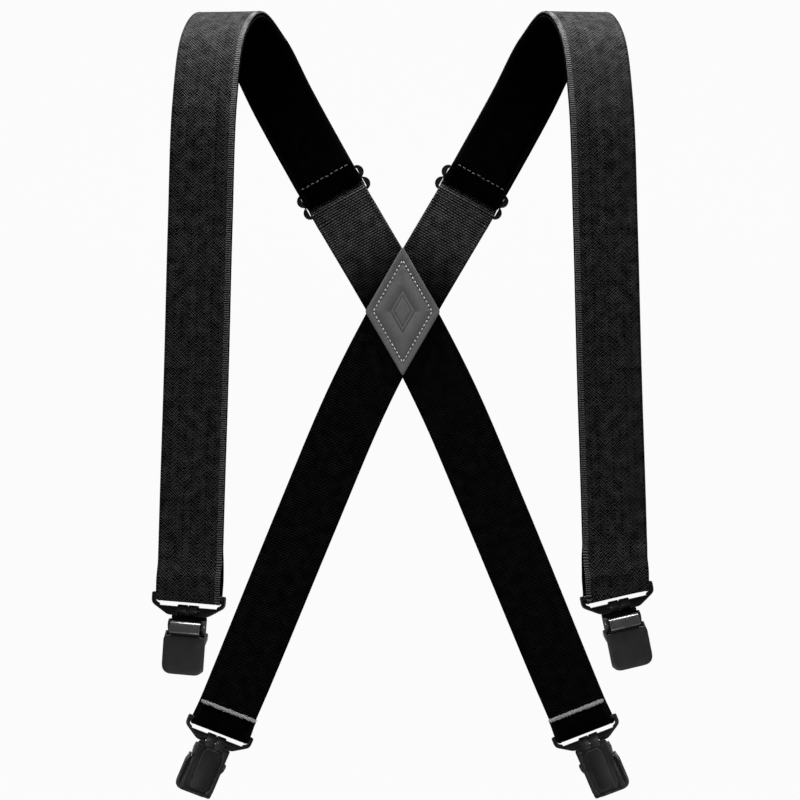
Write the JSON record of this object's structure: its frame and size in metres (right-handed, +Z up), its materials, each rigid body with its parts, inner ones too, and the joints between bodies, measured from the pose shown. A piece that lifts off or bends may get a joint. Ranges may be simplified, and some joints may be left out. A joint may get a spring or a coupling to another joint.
{
  "type": "clip-on suspenders",
  "caption": "X-back suspenders of wide black elastic webbing with a leather crosspatch, adjuster slides and lever clips on swinging rings.",
  "frame": {"origin": "between the shoulders, level with the undersides of the two shoulder arches, where the wearer's shoulders or a hanger carry the part", "axes": "+Z up; the wearer faces -Y; the wearer's right is at -X"},
  "size_m": [0.2881, 0.1716, 0.4758],
  "materials": {
    "webbing": "matt woven elastic, herringbone outside, ribbed inside",
    "leather": "satin grained",
    "ring_metal": "black, satin",
    "plate_metal": "black, satin",
    "cover_metal": "black, half gloss",
    "lever_metal": "black, gloss",
    "pin_metal": "dark steel",
    "spring_steel": "bright steel",
    "grip": "matt, ribbed"
  },
  "bodies": {
    "root": {"right_back_strap": "webbing", "left_back_strap": "webbing", "right_outer_layer": "webbing", "left_outer_layer": "webbing", "right_inner_layer": "webbing", "left_inner_layer": "webbing", "crosspatch_inner": "leather", "crosspatch_outer": "leather"},
    "right_slide_body": {"right_slide": "ring_metal", "right_slide_weave": "webbing", "right_end_loop": "webbing"},
    "right_front_end": {"right_front_loop": "webbing"},
    "right_front_ring_body": {"right_front_ring": "ring_metal"},
    "right_front_clip": {"right_front_back_plate": "plate_metal", "right_front_lever_pin": "pin_metal", "right_front_jaw_pin": "pin_metal", "right_front_spring": "spring_steel", "right_front_back_pad": "grip"},
    "right_front_lever_body": {"right_front_lever": "lever_metal"},
    "right_front_jaw": {"right_front_front_cover": "cover_metal", "right_front_front_pad": "grip"},
    "right_back_ring_body": {"right_back_ring": "ring_metal"},
    "right_back_clip": {"right_back_back_plate": "plate_metal", "right_back_lever_pin": "pin_metal", "right_back_jaw_pin": "pin_metal", "right_back_spring": "spring_steel", "right_back_back_pad": "grip"},
    "right_back_lever_body": {"right_back_lever": "lever_metal"},
    "right_back_jaw": {"right_back_front_cover": "cover_metal", "right_back_front_pad": "grip"},
    "left_slide_body": {"left_slide": "ring_metal", "left_slide_weave": "webbing", "left_end_loop": "webbing"},
    "left_front_end": {"left_front_loop": "webbing"},
    "left_front_ring_body": {"left_front_ring": "ring_metal"},
    "left_front_clip": {"left_front_back_plate": "plate_metal", "left_front_lever_pin": "pin_metal", "left_front_jaw_pin": "pin_metal", "left_front_spring": "spring_steel", "left_front_back_pad": "grip"},
    "left_front_lever_body": {"left_front_lever": "lever_metal"},
    "left_front_jaw": {"left_front_front_cover": "cover_metal", "left_front_front_pad": "grip"},
    "left_back_ring_body": {"left_back_ring": "ring_metal"},
    "left_back_clip": {"left_back_back_plate": "plate_metal", "left_back_lever_pin": "pin_metal", "left_back_jaw_pin": "pin_metal", "left_back_spring": "spring_steel", "left_back_back_pad": "grip"},
    "left_back_lever_body": {"left_back_lever": "lever_metal"},
    "left_back_jaw": {"left_back_front_cover": "cover_metal", "left_back_front_pad": "grip"}
  },
  "joints": [
    {"name": "right_adjuster_slide", "type": "slide", "parent": "root", "child": "right_slide_body", "axis": [-0.4877, -0.1691, 0.8565], "range_m": [-0.03, 0.02], "deforming": ["right_back_strap", "right_outer_layer", "right_inner_layer"]},
    {"name": "right_front_drop", "type": "slide", "parent": "root", "child": "right_front_end", "axis": [0.0294, 0.0242, 0.9993], "range_m": [-0.01, 0.015], "deforming": ["right_outer_layer", "right_inner_layer"]},
    {"name": "right_front_ring_swing", "type": "hinge", "parent": "right_front_end", "child": "right_front_ring_body", "pos_m": [-0.1223, -0.05879, -0.33702], "axis": [0.968, -0.2422, -0.065], "range_deg": [-60, 60]},
    {"name": "right_front_clip_swing", "type": "hinge", "parent": "right_front_ring_body", "child": "right_front_clip", "pos_m": [-0.1228, -0.05876, -0.3446], "axis": [0.968, -0.2422, -0.065], "range_deg": [-50, 50]},
    {"name": "right_front_lever_flip", "type": "hinge", "parent": "right_front_clip", "child": "right_front_lever_body", "pos_m": [-0.12383, -0.06048, -0.35356], "axis": [-0.968, 0.2422, 0.065], "range_deg": [0, 110]},
    {"name": "right_front_jaw_open", "type": "hinge", "parent": "right_front_clip", "child": "right_front_jaw", "pos_m": [-0.12364, -0.05823, -0.35907], "axis": [-0.968, 0.2422, 0.065], "range_deg": [0, 13.75]},
    {"name": "right_back_ring_swing", "type": "hinge", "parent": "root", "child": "right_back_ring_body", "pos_m": [-0.11219, 0.09313, -0.42695], "axis": [-0.8885, -0.2656, 0.3741], "range_deg": [-60, 60]},
    {"name": "right_back_clip_swing", "type": "hinge", "parent": "right_back_ring_body", "child": "right_back_clip", "pos_m": [-0.11516, 0.09321, -0.43394], "axis": [-0.8885, -0.2656, 0.3741], "range_deg": [-50, 50]},
    {"name": "right_back_lever_flip", "type": "hinge", "parent": "right_back_clip", "child": "right_back_lever_body", "pos_m": [-0.11911, 0.09505, -0.44202], "axis": [0.8885, 0.2656, -0.3741], "range_deg": [0, 110]},
    {"name": "right_back_jaw_open", "type": "hinge", "parent": "right_back_clip", "child": "right_back_jaw", "pos_m": [-0.12071, 0.09289, -0.44734], "axis": [0.8885, 0.2656, -0.3741], "range_deg": [0, 13.75]},
    {"name": "left_adjuster_slide", "type": "slide", "parent": "root", "child": "left_slide_body", "axis": [0.4877, -0.1691, 0.8565], "range_m": [-0.03, 0.02], "deforming": ["left_back_strap", "left_outer_layer", "left_inner_layer"]},
    {"name": "left_front_drop", "type": "slide", "parent": "root", "child": "left_front_end", "axis": [0.0479, 0.0439, 0.9979], "range_m": [-0.01, 0.015], "deforming": ["left_outer_layer", "left_inner_layer"]},
    {"name": "left_front_ring_swing", "type": "hinge", "parent": "left_front_end", "child": "left_front_ring_body", "pos_m": [0.12212, -0.0588, -0.33396], "axis": [0.9493, 0.2387, 0.2048], "range_deg": [-60, 60]},
    {"name": "left_front_clip_swing", "type": "hinge", "parent": "left_front_ring_body", "child": "left_front_clip", "pos_m": [0.12365, -0.05849, -0.3414], "axis": [0.9493, 0.2387, 0.2048], "range_deg": [-50, 50]},
    {"name": "left_front_lever_flip", "type": "hinge", "parent": "left_front_clip", "child": "left_front_lever_body", "pos_m": [0.12589, -0.05987, -0.35019], "axis": [-0.9493, -0.2387, -0.2048], "range_deg": [0, 110]},
    {"name": "left_front_jaw_open", "type": "hinge", "parent": "left_front_clip", "child": "left_front_jaw", "pos_m": [0.12644, -0.05742, -0.3556], "axis": [-0.9493, -0.2387, -0.2048], "range_deg": [0, 13.75]},
    {"name": "left_back_ring_swing", "type": "hinge", "parent": "root", "child": "left_back_ring_body", "pos_m": [0.11219, 0.09543, -0.42695], "axis": [-0.8885, 0.2656, -0.3741], "range_deg": [-60, 60]},
    {"name": "left_back_clip_swing", "type": "hinge", "parent": "left_back_ring_body", "child": "left_back_clip", "pos_m": [0.11516, 0.09551, -0.43394], "axis": [-0.8885, 0.2656, -0.3741], "range_deg": [-50, 50]},
    {"name": "left_back_lever_flip", "type": "hinge", "parent": "left_back_clip", "child": "left_back_lever_body", "pos_m": [0.11911, 0.09735, -0.44202], "axis": [0.8885, -0.2656, 0.3741], "range_deg": [0, 110]},
    {"name": "left_back_jaw_open", "type": "hinge", "parent": "left_back_clip", "child": "left_back_jaw", "pos_m": [0.12071, 0.09519, -0.44734], "axis": [0.8885, -0.2656, 0.3741], "range_deg": [0, 13.75]}
  ],
  "couplings": [
    {"joint": "right_front_drop", "follows": "right_adjuster_slide", "ratio": -0.5},
    {"joint": "right_front_jaw_open", "follows": "right_front_lever_flip", "ratio": 0.125},
    {"joint": "right_back_jaw_open", "follows": "right_back_lever_flip", "ratio": 0.125},
    {"joint": "left_front_drop", "follows": "left_adjuster_slide", "ratio": -0.5},
    {"joint": "left_front_jaw_open", "follows": "left_front_lever_flip", "ratio": 0.125},
    {"joint": "left_back_jaw_open", "follows": "left_back_lever_flip", "ratio": 0.125}
  ]
}
